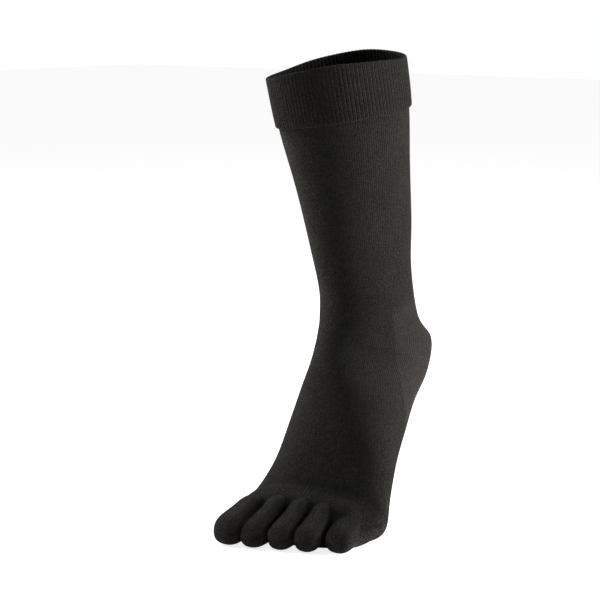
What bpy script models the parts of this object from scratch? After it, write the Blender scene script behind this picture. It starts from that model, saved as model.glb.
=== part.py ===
"""A knitted mid-calf sock with five toe pockets, in the form it has on a left foot standing on tiptoe.

Metres, +Z up. The toes point to -Y and the little toe lies to +X. The shape is first laid out with its
zero under the ball of the foot, on the plane that the sole rests on, and then hung from an empty that
puts the middle of the cuff's mouth at the world's origin.
"""

import math

import bmesh
import bpy
import numpy as np
from mathutils import Matrix, Vector

# The foot inside the sock: what the knit is stretched over.
BALL_TO_HEEL = 0.165
BALL_WIDTH = 0.094
INSTEP_HEIGHT = 0.075
HEEL_LIFT = math.radians(40.7)
TOE_LINE_SKEW = math.radians(17.0)

# The toes: reach is from the ball to the tip of the big toe, the other sizes are the second toe's.
TOE_REACH = 0.067
TOE_WIDTH = 0.0164
TOE_HEIGHT = 0.0168
TOE_ROOT_HEIGHT = 0.032
TOE_ROOT_DEPTH = 0.015

# The leg: its height is from the ankle's middle to the mouth, along the leg.
LEG_HEIGHT = 0.180
LEG_LEAN = math.radians(13.3)
CALF_WIDTH = 0.084
CALF_DEPTH = 0.102

# The knit. The gap lies along each seam, between two pieces that are knitted on to each other.
KNIT_WALL = 0.0012
CUFF_HEIGHT = 0.037
CUFF_WALL = 0.0022
CUFF_PROUD = 0.0005
SEAM_GAP = 0.0003

# The cuff is pulled up higher in front and on the outer side: how steeply, and how far that way turns
# from the front to the outer side. The bow is how far its edge curves up where it is highest and lowest.
CUFF_TILT = math.radians(8.2)
TILT_TURN = math.radians(39.7)
MOUTH_BOW = 0.0025

# How finely the shape is faceted, how far the leg and a cutter reach past what is kept of them, and the
# angle from which an edge between two facets stays sharp.
SEGMENTS_AROUND = 36
RINGS_PER_ROW = 2
TOE_SEGMENTS = 14
TOE_CLOSING_RINGS = 4
CUFF_RINGS = 6
SPARE = 0.012
CUTTER_SIZE = 1.0
SHARP_ANGLE = math.radians(50.0)

# Sections of the foot from the toes back. Lift is how much of HEEL_LIFT the section has turned by, along
# is a share of BALL_TO_HEEL from the ball back, height a share of INSTEP_HEIGHT, half a share of half the
# BALL_WIDTH, shift a share of BALL_WIDTH, skew a share of TOE_LINE_SKEW, round an exponent: 2 is an oval.
FOOT_COLUMNS = (
    "lift", "top_along", "top_height", "sole_along", "sole_height",
    "half", "shift", "skew", "round_top", "round_sole",
)
FOOT_ROWS = {
    "web_end":   (0.00, -0.150, 0.31, -0.215, 0.04, 0.82, 0.02, 1.0, 2.5, 3.0),
    "toe_line":  (0.00, -0.127, 0.40, -0.180, 0.00, 0.93, 0.03, 1.0, 2.4, 3.4),
    "toe_root":  (0.06, -0.076, 0.48, -0.080, 0.00, 1.04, 0.035, 0.9, 2.3, 3.2),
    "ball":      (0.45, 0.025, 0.56, 0.030, 0.00, 1.06, 0.035, 0.6, 2.1, 3.0),
    "forefoot":  (0.90, 0.187, 0.66, 0.205, 0.00, 0.96, 0.02, 0.3, 2.0, 2.8),
    "midfoot":   (1.00, 0.313, 0.84, 0.388, 0.02, 0.88, 0.02, 0.0, 2.1, 2.6),
    "waist":     (1.00, 0.423, 1.06, 0.550, 0.05, 0.76, 0.03, 0.0, 2.1, 2.5),
    "instep":    (1.00, 0.499, 1.18, 0.715, 0.065, 0.65, 0.02, 0.0, 2.1, 2.4),
    "heel_sole": (1.00, 0.566, 1.25, 0.890, 0.075, 0.62, 0.00, 0.0, 2.1, 2.3),
    "heel_back": (1.00, 0.606, 1.295, 1.006, 0.27, 0.63, 0.00, 0.0, 2.1, 2.2),
    "heel_top":  (1.00, 0.648, 1.35, 1.006, 0.62, 0.60, 0.00, 0.0, 2.1, 2.2),
}

# Sections of the leg from the ankle up. Rise is a share of LEG_HEIGHT, front and back shares of half the
# CALF_DEPTH on each side of the leg's axis, half a share of half the CALF_WIDTH.
LEG_COLUMNS = ("rise", "front", "back", "half")
LEG_ROWS = {
    "ankle":       (0.16, 0.75, 0.735, 0.66),
    "above_ankle": (0.34, 0.79, 0.865, 0.71),
    "shin":        (0.56, 0.83, 0.93, 0.82),
    "calf":        (0.80, 0.92, 1.005, 0.96),
    "mouth":       (1.00, 0.965, 1.025, 0.99),
}
LEG_ROUND = 2.05
ANKLE_ALONG = 0.837
ANKLE_HEIGHT = 0.95

# The heel pocket opens from a line across the ankle, set by where that line stands and how far the lower
# seam turns down from the ankle seam.
ANKLE_SEAM_RISE = 0.05
HEEL_HINGE = 0.10
HEEL_SPREAD = math.radians(82.0)

# Toes from the big one out. Root and tip are shares of BALL_WIDTH across the foot, ahead is a share of
# TOE_REACH, width of TOE_WIDTH and height of TOE_HEIGHT. Base is how wide the root is, as a share of the
# same section on a plain toe.
TOE_COLUMNS = ("root", "tip", "ahead", "width", "height", "base")
TOES = {
    "big":    (-0.335, -0.344, 0.95, 1.34, 1.22, 1.00),
    "second": (-0.136, -0.148, 0.87, 1.04, 1.03, 0.96),
    "third":  (0.029, 0.036, 0.76, 1.02, 1.03, 0.92),
    "fourth": (0.180, 0.213, 0.65, 0.96, 1.00, 0.96),
    "little": (0.343, 0.384, 0.47, 0.92, 0.98, 1.22),
}

# Sections along a toe. Reach is a share of its length from root to tip, width of its width, slope how much
# of the drop from the root's height to the toe's own height is still to come, arch how far the underside
# is off the ground as a share of the toe's height.
TOE_ROW_COLUMNS = ("reach", "width", "slope", "arch")
TOE_ROWS = {
    "inside": (0.00, 0.84, 1.00, 0.02),
    "web":    (0.32, 0.86, 0.88, 0.04),
    "shaft":  (0.52, 0.90, 0.52, 0.12),
    "pad":    (0.76, 1.00, 0.08, 0.00),
}
TOE_ROUND = 2.4
TOE_TIP_ROUND = 2.6
TOE_MIDDLE = 0.35

# Two places along the toes, as shares from root to tip, that the seam between two toes passes through.
WEB_SHARES = (0.25, 0.85)

YARN_BLACK = (0.012, 0.011, 0.011, 1.0)
CUFF_BLACK = (0.015, 0.014, 0.014, 1.0)
KNIT_ROUGHNESS = 0.9


def table(rows, columns):
    """The rows of a table by name, each with its values by column."""
    return {name: dict(zip(columns, row)) for name, row in rows.items()}


def lifted(along, height, share):
    """A point of the foot's side view, turned up about the ball with the heel: (y, z)."""
    angle = HEEL_LIFT * share
    y = along * math.cos(angle) - height * math.sin(angle)
    z = along * math.sin(angle) + height * math.cos(angle)
    return np.array([y, z])


def leg_axis():
    """The ankle's middle, the direction up the leg and the direction out of its front, in side view."""
    ankle = lifted(ANKLE_ALONG * BALL_TO_HEEL, ANKLE_HEIGHT * INSTEP_HEIGHT, 1.0)
    up = np.array([-math.sin(LEG_LEAN), math.cos(LEG_LEAN)])
    front = np.array([-math.cos(LEG_LEAN), -math.sin(LEG_LEAN)])
    return ankle, up, front


def tilt_axis():
    """Which way the cuff is tipped up: forward and towards the outer side, square to the leg."""
    _, _, front = leg_axis()
    return Vector((math.sin(TILT_TURN), *(front * math.cos(TILT_TURN))))


def sections():
    """Each section as front y, z, back y, z, half width, shift, skew and its two exponents."""
    found = []
    for row in table(FOOT_ROWS, FOOT_COLUMNS).values():
        front = lifted(row["top_along"] * BALL_TO_HEEL, row["top_height"] * INSTEP_HEIGHT, row["lift"])
        back = lifted(row["sole_along"] * BALL_TO_HEEL, row["sole_height"] * INSTEP_HEIGHT, row["lift"])
        skew = math.tan(row["skew"] * TOE_LINE_SKEW)
        widths = (row["half"] * BALL_WIDTH / 2, row["shift"] * BALL_WIDTH, skew)
        found.append((*front, *back, *widths, row["round_top"], row["round_sole"]))
    ankle, up, forward = leg_axis()
    for row in table(LEG_ROWS, LEG_COLUMNS).values():
        middle = ankle + up * row["rise"] * LEG_HEIGHT
        front = middle + forward * row["front"] * CALF_DEPTH / 2
        back = middle - forward * row["back"] * CALF_DEPTH / 2
        found.append((*front, *back, row["half"] * CALF_WIDTH / 2, 0.0, 0.0, LEG_ROUND, LEG_ROUND))
    return np.array(found)


def between(rows, place):
    """A smooth curve through the rows of a table, read at a fractional row number."""
    last = len(rows) - 1
    i = min(int(place), last - 1)
    t = place - i
    before = rows[i - 1] if i > 0 else 2 * rows[0] - rows[1]
    after = rows[i + 2] if i + 2 <= last else 2 * rows[last] - rows[last - 1]
    a, b = rows[i], rows[i + 1]
    cubic = 3 * a - before - 3 * b + after
    square = 2 * before - 5 * a + 4 * b - after
    return 0.5 * (2 * a + (b - before) * t + square * t**2 + cubic * t**3)


def rounded(angle, exponent):
    """Cosine and sine of a superellipse with this exponent."""
    cosine, sine = math.cos(angle), math.sin(angle)
    power = 2.0 / exponent
    return math.copysign(abs(cosine) ** power, cosine), math.copysign(abs(sine) ** power, sine)


def ring_of(section):
    """The points of one section, front first to the side and round, none of them under the ground."""
    front, back = section[0:2], section[2:4]
    half, shift, skew, round_top, round_sole = section[4:9]
    points = []
    for step in range(SEGMENTS_AROUND):
        angle = 2 * math.pi * step / SEGMENTS_AROUND
        across, towards_front = rounded(angle, round_top if math.sin(angle) > 0 else round_sole)
        y, z = (front + back) / 2 + towards_front * (front - back) / 2
        x = half * across
        points.append(Vector((x + shift, y + skew * x, max(z, 0.0))))
    return points


def leg_ring(rise):
    """The leg's section at a height along the leg from the ankle's middle, in metres."""
    rows = sections()
    first = len(FOOT_ROWS)
    rises = [row["rise"] * LEG_HEIGHT for row in table(LEG_ROWS, LEG_COLUMNS).values()]
    place = first + float(np.interp(rise, rises, range(len(rises))))
    beyond = max(rise - LEG_HEIGHT, 0.0)
    up = leg_axis()[1]
    offset = Vector((0.0, up[0] * beyond, up[1] * beyond))
    return [point + offset for point in ring_of(between(rows, place))]


def foot_and_leg_rings():
    """All sections from the web between the toes to a little past the mouth."""
    rows = sections()
    steps = (len(rows) - 1) * RINGS_PER_ROW
    rings = [ring_of(between(rows, step / RINGS_PER_ROW)) for step in range(steps + 1)]
    return rings + [leg_ring(LEG_HEIGHT + SPARE)]


def toe_line_y(across):
    """Where the toes' seam crosses this place across the foot."""
    row = table(FOOT_ROWS, FOOT_COLUMNS)["toe_line"]
    middle = (row["top_along"] + row["sole_along"]) / 2 * BALL_TO_HEEL
    return middle + math.tan(TOE_LINE_SKEW) * across


def toe_ends(toe):
    """A toe's root, inside the foot, and its tip, in plan."""
    root_x, tip_x = toe["root"] * BALL_WIDTH, toe["tip"] * BALL_WIDTH
    return (
        Vector((root_x, toe_line_y(root_x) + TOE_ROOT_DEPTH)),
        Vector((tip_x, -toe["ahead"] * TOE_REACH)),
    )


def toe_side(toe, share, side):
    """The point in plan on one side of a toe, a share of the way from its root to its tip."""
    root, tip = toe_ends(toe)
    heading = (tip - root).normalized()
    beside = Vector((-heading.y, heading.x))
    return root.lerp(tip, share) + beside * side * toe["width"] * TOE_WIDTH / 2


def toe_rings(toe):
    """The sections of one toe from its root to just before its tip, and the tip's point."""
    root, tip = toe_ends(toe)
    heading = (tip - root).normalized()
    beside = Vector((-heading.y, heading.x))
    width, height = toe["width"] * TOE_WIDTH, toe["height"] * TOE_HEIGHT
    middle = TOE_MIDDLE * height
    rows = np.array(list(TOE_ROWS.values()))
    last_open = rows[-1][TOE_ROW_COLUMNS.index("reach")]
    steps = (len(rows) - 1) * RINGS_PER_ROW
    shapes = [(*between(rows, step / RINGS_PER_ROW), 1.0) for step in range(steps + 1)]
    for step in range(1, TOE_CLOSING_RINGS + 1):
        turn = math.pi / 2 * step / (TOE_CLOSING_RINGS + 1)
        open_share, advance = rounded(turn, TOE_TIP_ROUND)
        reach = last_open + (1.0 - last_open) * advance
        shapes.append((reach, *rows[-1][1:], open_share))
    rings = []
    for reach, wide, slope, arch, open_share in shapes:
        place = root.lerp(tip, reach)
        top = middle + (height + slope * (TOE_ROOT_HEIGHT - height) - middle) * open_share
        sole = middle + (arch * height - middle) * open_share
        half = wide * (1 + (toe["base"] - 1) * slope) * width / 2 * open_share
        ring = []
        for step in range(TOE_SEGMENTS):
            across, rise = rounded(2 * math.pi * step / TOE_SEGMENTS, TOE_ROUND)
            flat = place + beside * across * half
            ring.append(Vector((flat.x, flat.y, (top + sole) / 2 + rise * (top - sole) / 2)))
        rings.append(ring)
    return rings, Vector((tip.x, tip.y, middle))


def skinned(name, rings, collection, last_point=None, capped=True):
    """A mesh object skinned over rings of equal count, its ends closed by fans unless it is left open."""
    bm = bmesh.new()
    loops = [[bm.verts.new(point) for point in ring] for ring in rings]
    for lower, upper in zip(loops, loops[1:]):
        for i, corner in enumerate(lower):
            j = (i + 1) % len(lower)
            bm.faces.new((corner, lower[j], upper[j], upper[i]))
    if capped:
        start = sum(rings[0], Vector()) / len(rings[0])
        end = last_point or sum(rings[-1], Vector()) / len(rings[-1])
        for loop, point in ((loops[0], start), (loops[-1], end)):
            pole = bm.verts.new(point)
            for i, corner in enumerate(loop):
                bm.faces.new((corner, loop[(i + 1) % len(loop)], pole))
    bmesh.ops.recalc_face_normals(bm, faces=bm.faces)
    mesh = bpy.data.meshes.new(name)
    bm.to_mesh(mesh)
    bm.free()
    mesh.shade_smooth()
    mesh.set_sharp_from_angle(angle=SHARP_ANGLE)
    made = bpy.data.objects.new(name, mesh)
    collection.objects.link(made)
    return made


def helper(made):
    """Marks an object as a guide that is no piece of the sock."""
    made.hide_render = True
    made.display_type = "WIRE"
    return made


def combine(target, operation, other):
    """Adds a Boolean with another object to the target."""
    modifier = target.modifiers.new(f"{operation.lower()} {other.name}", "BOOLEAN")
    modifier.operation = operation
    modifier.object = other


def finished_mesh(made):
    """The object's mesh with its modifiers applied."""
    bpy.context.view_layer.update()
    graph = bpy.context.evaluated_depsgraph_get()
    return bpy.data.meshes.new_from_object(made.evaluated_get(graph))


def solid_form(name, inset, guides):
    """The foot, leg and toes as one closed form, moved in from the sock's outer face by an inset."""
    forms = [skinned(name, foot_and_leg_rings(), guides)]
    for toe_name, toe in table(TOES, TOE_COLUMNS).items():
        rings, tip = toe_rings(toe)
        forms.append(skinned(f"{name}_{toe_name}_toe", rings, guides, last_point=tip))
    for form in forms:
        helper(form)
        if inset:
            shrink = form.modifiers.new("wall", "DISPLACE")
            shrink.mid_level = 0.0
            shrink.strength = -inset
    for toe_form in forms[1:]:
        combine(forms[0], "UNION", toe_form)
    return forms[0]


def knit_shell(guides):
    """The whole knit wall as a mesh: the outer form less the hollow that the foot goes into."""
    outer = solid_form("outer_form", 0.0, guides)
    combine(outer, "DIFFERENCE", solid_form("hollow_form", KNIT_WALL, guides))
    return finished_mesh(outer)


class Plane:
    """A seam's plane: a point on it and the direction of the side called positive."""

    def __init__(self, point, normal):
        self.point = Vector(point)
        self.normal = Vector(normal).normalized()


def side_view_plane(point, normal):
    """A plane that runs straight across the foot, given in side view as (y, z)."""
    return Plane((0.0, *point), (0.0, *normal))


def seams():
    """The planes along which the pieces of the sock are knitted on to each other."""
    ankle, up, front = leg_axis()
    hinge = ankle + up * ANKLE_SEAM_RISE * LEG_HEIGHT + front * HEEL_HINGE * CALF_DEPTH
    turned = np.array([
        up[0] * math.cos(HEEL_SPREAD) - up[1] * math.sin(HEEL_SPREAD),
        up[0] * math.sin(HEEL_SPREAD) + up[1] * math.cos(HEEL_SPREAD),
    ])
    toe_line = Vector((0.0, toe_line_y(0.0), 0.0))
    cuff_edge = Vector((0.0, *(ankle + up * (LEG_HEIGHT - CUFF_HEIGHT))))
    cuff_normal = Vector((0.0, *up)) - tilt_axis() * math.tan(CUFF_TILT)
    planes = {
        "cuff": Plane(cuff_edge, cuff_normal),
        "ankle": side_view_plane(hinge, up),
        "heel": side_view_plane(hinge, -turned),
        "toe_line": Plane(toe_line, (-math.tan(TOE_LINE_SKEW), 1.0, 0.0)),
    }
    toes = list(table(TOES, TOE_COLUMNS).values())
    for number, (inner, outer) in enumerate(zip(toes, toes[1:])):
        near, far = (
            (toe_side(inner, share, 1) + toe_side(outer, share, -1)) / 2 for share in WEB_SHARES
        )
        along = far - near
        planes[f"web_{number}"] = Plane((near.x, near.y, 0.0), (-along.y, along.x, 0.0))
    return planes


def half_space(name, plane, sign, guides):
    """A large block that fills one side of a plane, up to half a seam's gap over it."""
    bm = bmesh.new()
    bmesh.ops.create_cube(bm, size=CUTTER_SIZE)
    mesh = bpy.data.meshes.new(name)
    bm.to_mesh(mesh)
    bm.free()
    block = bpy.data.objects.new(name, mesh)
    guides.objects.link(block)
    away = plane.normal * sign
    block.matrix_world = Matrix.Translation(
        plane.point + away * (CUTTER_SIZE / 2 - SEAM_GAP / 2)
    ) @ away.to_track_quat("Z", "Y").to_matrix().to_4x4()
    return helper(block)


def blocks_of(planes, guides):
    """Both half spaces of every seam, by seam name and side."""
    return {
        (name, sign): half_space(f"beyond_{name}_{'plus' if sign > 0 else 'minus'}", plane, sign, guides)
        for name, plane in planes.items()
        for sign in (1, -1)
    }


def knit_material(name, colour):
    """Fine matt yarn."""
    material = bpy.data.materials.new(name)
    material.use_nodes = True
    shader = material.node_tree.nodes["Principled BSDF"]
    shader.inputs["Base Color"].default_value = colour
    shader.inputs["Roughness"].default_value = KNIT_ROUGHNESS
    shader.inputs["Metallic"].default_value = 0.0
    material.diffuse_color = colour
    return material


def piece_of_shell(name, shell, cuts, blocks, pieces):
    """One piece of the sock: the knit shell less the far side of each of its seams."""
    made = bpy.data.objects.new(name, shell.copy())
    pieces.objects.link(made)
    for cut in cuts:
        combine(made, "DIFFERENCE", blocks[cut])
    made.data.materials.clear()
    made.data.materials.append(knit_material(f"{name}_knit", YARN_BLACK))
    return made


def mouth_rises():
    """How far up the leg the mouth's edge lies at each point round it."""
    ankle, up, _ = leg_axis()
    middle = Vector((0.0, *(ankle + up * LEG_HEIGHT)))
    ahead = [(point - middle).dot(tilt_axis()) for point in leg_ring(LEG_HEIGHT)]
    reach = max(ahead)
    return [
        LEG_HEIGHT + math.tan(CUFF_TILT) * s + MOUTH_BOW * (2 * (s / reach) ** 2 - 1) for s in ahead
    ]


def cuff(blocks, pieces):
    """The ribbed welt, folded double, whose outer face stands a little proud of the leg."""
    tops = mouth_rises()
    low = LEG_HEIGHT - CUFF_HEIGHT - SPARE
    rings = [
        [leg_ring(low + (top - low) * step / CUFF_RINGS)[place] for place, top in enumerate(tops)]
        for step in range(CUFF_RINGS + 1)
    ]
    made = skinned("cuff", rings, pieces, capped=False)
    wall = made.modifiers.new("folded welt", "SOLIDIFY")
    wall.thickness = CUFF_WALL
    wall.offset = 2 * CUFF_PROUD / CUFF_WALL - 1
    combine(made, "DIFFERENCE", blocks[("cuff", -1)])
    made.data.materials.append(knit_material("cuff_knit", CUFF_BLACK))
    return made


def cuts_of_toes():
    """What is cut away for each toe pocket: the leg, what is behind the toe line, what is past its webs."""
    names = list(TOES)
    cuts = {}
    for number, name in enumerate(names):
        cuts[name] = [("ankle", 1), ("toe_line", 1)]
        if number > 0:
            cuts[name].append((f"web_{number - 1}", -1))
        if number < len(names) - 1:
            cuts[name].append((f"web_{number}", 1))
    return cuts


def mouth_middle():
    """The middle of the cuff's mouth, between its front and its back."""
    front, back = sections()[-1][0:2], sections()[-1][2:4]
    return Vector((0.0, *((front + back) / 2)))


def main():
    for leftover in list(bpy.data.objects):
        bpy.data.objects.remove(leftover)
    scene = bpy.context.scene
    pieces = bpy.data.collections.new("toe_sock")
    guides = bpy.data.collections.new("guides")
    scene.collection.children.link(pieces)
    scene.collection.children.link(guides)

    shell = knit_shell(guides)
    blocks = blocks_of(seams(), guides)
    cuff(blocks, pieces)
    piece_of_shell("leg", shell, [("cuff", 1), ("ankle", -1)], blocks, pieces)
    piece_of_shell("heel_pocket", shell, [("ankle", 1), ("heel", -1)], blocks, pieces)
    piece_of_shell("foot", shell, [("ankle", 1), ("heel", 1), ("toe_line", -1)], blocks, pieces)
    for name, cuts in cuts_of_toes().items():
        piece_of_shell(f"toe_pocket_{name}", shell, cuts, blocks, pieces)

    # The pieces are cut before they are hung up, so that where they hang can't change a cut.
    for made, cut_mesh in [(made, finished_mesh(made)) for made in pieces.objects]:
        made.modifiers.clear()
        made.data = cut_mesh

    hanger = bpy.data.objects.new("mouth_hanger", None)
    pieces.objects.link(hanger)
    for made in [*pieces.objects, *guides.objects]:
        if made is not hanger:
            made.parent = hanger
    hanger.location = -mouth_middle()


main()
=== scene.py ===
"""A black fine-knit toe sock in its worn form, finished over the frame and set on a pale studio floor."""

import math

import bmesh
import bpy
import numpy as np
from mathutils import Matrix, Vector, kdtree


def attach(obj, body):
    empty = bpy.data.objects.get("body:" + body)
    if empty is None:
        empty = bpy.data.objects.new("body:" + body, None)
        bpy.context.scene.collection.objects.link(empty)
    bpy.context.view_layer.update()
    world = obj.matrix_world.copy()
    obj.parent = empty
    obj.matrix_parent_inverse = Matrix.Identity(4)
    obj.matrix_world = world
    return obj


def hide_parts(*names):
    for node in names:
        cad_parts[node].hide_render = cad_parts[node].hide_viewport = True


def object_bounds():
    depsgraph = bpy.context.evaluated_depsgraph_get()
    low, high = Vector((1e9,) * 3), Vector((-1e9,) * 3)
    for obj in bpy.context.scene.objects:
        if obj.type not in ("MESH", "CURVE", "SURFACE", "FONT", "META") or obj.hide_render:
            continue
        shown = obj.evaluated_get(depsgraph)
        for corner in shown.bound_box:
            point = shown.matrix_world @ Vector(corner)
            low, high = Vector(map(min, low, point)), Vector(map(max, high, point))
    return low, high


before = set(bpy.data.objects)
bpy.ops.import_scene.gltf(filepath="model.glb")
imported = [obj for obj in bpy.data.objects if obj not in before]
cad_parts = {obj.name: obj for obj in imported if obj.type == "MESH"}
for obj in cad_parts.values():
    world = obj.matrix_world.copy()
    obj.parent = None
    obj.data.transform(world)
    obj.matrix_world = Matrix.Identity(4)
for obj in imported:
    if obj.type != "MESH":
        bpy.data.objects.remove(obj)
CAD_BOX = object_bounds()

bl_info = {
    "name": "Toe Sock",
    "version": (1, 0, 0),
    "blender": (4, 5, 0),
    "location": "3D View > Sidebar > Toe Sock",
    "description": "Builds a fine-knit toe sock with a ribbed cuff and its studio stage",
    "category": "Add Mesh",
}

# The camera and what it looks at, from the point of the floor under the ball of the foot.
CAMERA_PLACE = (0.8752, -1.0730, 0.3715)
CAMERA_TARGET = (-0.0425, 0.0321, 0.1545)

# The sock's foot and toes, in metres and radians.
BALL_TO_HEEL = 0.165
BALL_WIDTH = 0.094
INSTEP_HEIGHT = 0.075
HEEL_LIFT = math.radians(40.7)
TOE_LINE_SKEW = math.radians(17.0)
TOE_REACH = 0.067
TOE_WIDTH = 0.0164
TOE_HEIGHT = 0.0168
TOE_ROOT_HEIGHT = 0.032
TOE_ROOT_DEPTH = 0.015

# The leg, the knit's thickness and the cuff, whose mouth is tipped up and bows up at front and back.
LEG_HEIGHT = 0.180
LEG_LEAN = math.radians(13.3)
CALF_WIDTH = 0.084
CALF_DEPTH = 0.102
KNIT_WALL = 0.0012
CUFF_HEIGHT = 0.037
CUFF_WALL = 0.0022
CUFF_PROUD = 0.0005
CUFF_TILT = math.radians(8.2)
TILT_TURN = math.radians(39.7)
MOUTH_BOW = 0.0025
# How far the mouth's edge waves up and down: waves round it, where they start, and their share.
MOUTH_UNEVEN = 0.0005
MOUTH_WAVES = ((3, 0.6, 0.5), (7, 2.0, 0.3))
# How far surfaces are carried on past the mouth, and how far the plain knit reaches up inside the cuff.
SPARE = 0.012
BODY_EMBED = 0.002

# Sections of the foot from the toes back, and of the leg from the ankle up, as shares of the sizes above.
FOOT_COLUMNS = (
    "lift", "top_along", "top_height", "sole_along", "sole_height",
    "half", "shift", "skew", "round_top", "round_sole",
)
FOOT_ROWS = {
    "web_end":   (0.00, -0.150, 0.31, -0.215, 0.04, 0.82, 0.02, 1.0, 2.5, 3.0),
    "toe_line":  (0.00, -0.127, 0.40, -0.180, 0.00, 0.93, 0.03, 1.0, 2.4, 3.4),
    "toe_root":  (0.06, -0.076, 0.48, -0.080, 0.00, 1.04, 0.035, 0.9, 2.3, 3.2),
    "ball":      (0.45, 0.025, 0.56, 0.030, 0.00, 1.06, 0.035, 0.6, 2.1, 3.0),
    "forefoot":  (0.90, 0.187, 0.66, 0.205, 0.00, 0.96, 0.02, 0.3, 2.0, 2.8),
    "midfoot":   (1.00, 0.313, 0.84, 0.388, 0.02, 0.88, 0.02, 0.0, 2.1, 2.6),
    "waist":     (1.00, 0.423, 1.06, 0.550, 0.05, 0.76, 0.03, 0.0, 2.1, 2.5),
    "instep":    (1.00, 0.499, 1.18, 0.715, 0.065, 0.65, 0.02, 0.0, 2.1, 2.4),
    "heel_sole": (1.00, 0.566, 1.25, 0.890, 0.075, 0.62, 0.00, 0.0, 2.1, 2.3),
    "heel_back": (1.00, 0.606, 1.295, 1.006, 0.27, 0.63, 0.00, 0.0, 2.1, 2.2),
    "heel_top":  (1.00, 0.648, 1.35, 1.006, 0.62, 0.60, 0.00, 0.0, 2.1, 2.2),
}
LEG_COLUMNS = ("rise", "front", "back", "half")
LEG_ROWS = {
    "ankle":       (0.16, 0.75, 0.735, 0.66),
    "above_ankle": (0.34, 0.79, 0.865, 0.71),
    "shin":        (0.56, 0.83, 0.93, 0.82),
    "calf":        (0.80, 0.92, 1.005, 0.96),
    "mouth":       (1.00, 0.965, 1.025, 0.99),
}
LEG_ROUND = 2.05
ANKLE_ALONG = 0.837
ANKLE_HEIGHT = 0.95
ANKLE_SEAM_RISE = 0.05
HEEL_HINGE = 0.10
HEEL_SPREAD = math.radians(82)

# Each toe: its root and tip across the ball, how far ahead it ends, its width and height, how wide
# its base is beside it, and how high its root rises, all as shares of the sizes above.
TOE_COLUMNS = ("root", "tip", "ahead", "width", "height", "base", "rise")
TOES = {
    "big":    (-0.335, -0.344, 0.95, 1.34, 1.20, 0.96, 0.93),
    "second": (-0.136, -0.157, 0.87, 1.08, 1.03, 0.93, 1.00),
    "third":  (0.029, 0.036, 0.76, 1.06, 1.03, 0.92, 1.00),
    "fourth": (0.180, 0.222, 0.65, 1.04, 1.00, 0.91, 0.96),
    "little": (0.372, 0.418, 0.47, 1.14, 0.96, 1.14, 0.84),
}
# The sections of any toe from its root to where it starts to close: how far along they lie, their
# width, how much of the root's height they have, and how far the sole arches up.
TOE_ROW_COLUMNS = ("reach", "width", "slope", "arch")
TOE_ROWS = {
    "inside": (0.00, 0.98, 1.00, 0.02),
    "web":    (0.32, 0.98, 0.88, 0.04),
    "shaft":  (0.52, 0.97, 0.54, 0.08),
    "pad":    (0.76, 1.00, 0.16, 0.00),
}
# How square a toe's sections and its tip are (2 is an ellipse), and how much squarer its root is.
TOE_ROUND = 2.4
TOE_TIP_ROUND = 2.6
TOE_ROOT_SQUARER = 0.5
# How high a toe closes, how much its top falls on the way, and the width that is left at the tip.
TOE_MIDDLE = 0.35
TOE_TOP_FALL = 0.28
TIP_SHARE = 0.001

BODY_NODES = (
    "leg", "heel_pocket", "foot", "toe_pocket_big", "toe_pocket_second",
    "toe_pocket_third", "toe_pocket_fourth", "toe_pocket_little",
)

# How finely the surfaces that carry the stitches are sampled, and those of the closed forms.
BODY_AROUND, BODY_ALONG = 240, 320
TOE_AROUND, TOE_ALONG = 72, 64
FORM_AROUND, FORM_ALONG = 120, 110
TOE_FORM_AROUND, TOE_FORM_ALONG = 40, 30
LEVELS_PAST_MOUTH = 5
CUFF_LEVELS = 90
SMOOTH_FACTOR = 0.5

# The toes lie in front of and below these, from the point of the floor under the ball.
TOES_BACK = 0.005
TOES_TOP = 0.045
# A point is read up to this many samples from the nearest one. An area is never taken as smaller.
SAMPLE_REACH = 0.7
LEAST_AREA = 1e-18
# The heel pocket's change of tone is spread over this width.
HEEL_EDGE = 0.0016

# The cuff's section: points up each side, round the rim and round the hem.
BAND_STEPS, RIM_STEPS, HEM_STEPS = 15, 8, 6
# How strongly the ribs stand out: where they start below, where they end above, inside, on the rim
# and on the hem, and how many points draw one rib.
RIB_START, RIB_END, RIB_INSIDE, RIB_RIM, RIB_HEM = 0.25, 0.45, 0.6, 0.35, 0.1
POINTS_PER_RIB = 8
# A rib is a bow, made broader by this power and lowered by this share of its height.
RIB_POWER = 0.7
RIB_DROP = 0.6

# A stitch: how far its legs lean along the wale, how round they are, how deep each loop dips, and
# how high the bottom of the valley between two wales stays.
STITCH_LEAN = 0.6
STITCH_ROUND = 0.6
LOOP_DIP = 0.45
VALLEY_FLOOR = 0.15
STITCH_DEPTH = 0.0006

# The knit's tone follows the height of its stitches, painted darker low between them as shade, and these
# patterns lighten and darken it.
HEIGHT_GAIN = 1.1
TONE_DROP = 0.25
# Yarn is uneven over a fraction of a millimetre. It is drawn at about 0.9 mm, so that it still shows.
FLECK_SCALE, FLECK_GAIN, FLECK_RELIEF = 1100.0, 2.4, 0.8
# Each wale is a little looser or tighter than the next, for about eight courses along.
STREAK_STRETCH, STREAK_SCALE, STREAK_GAIN = (0.9, 0.12, 1.0), 1.0, 0.4
# The knit is stretched a little unevenly, over about 18 mm.
PATCH_SCALE, PATCH_GAIN = 55.0, 0.5
# Fibre ends stand out of the yarn, and hardly any light reaches those between the stitches.
FUZZ_LIFT = 0.25
FUZZ_LEAST = 0.05
YARN_ROUGHNESS = 0.92
YARN_SPECULAR = 0.25
FUZZ_ROUGHNESS = 0.4

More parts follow.
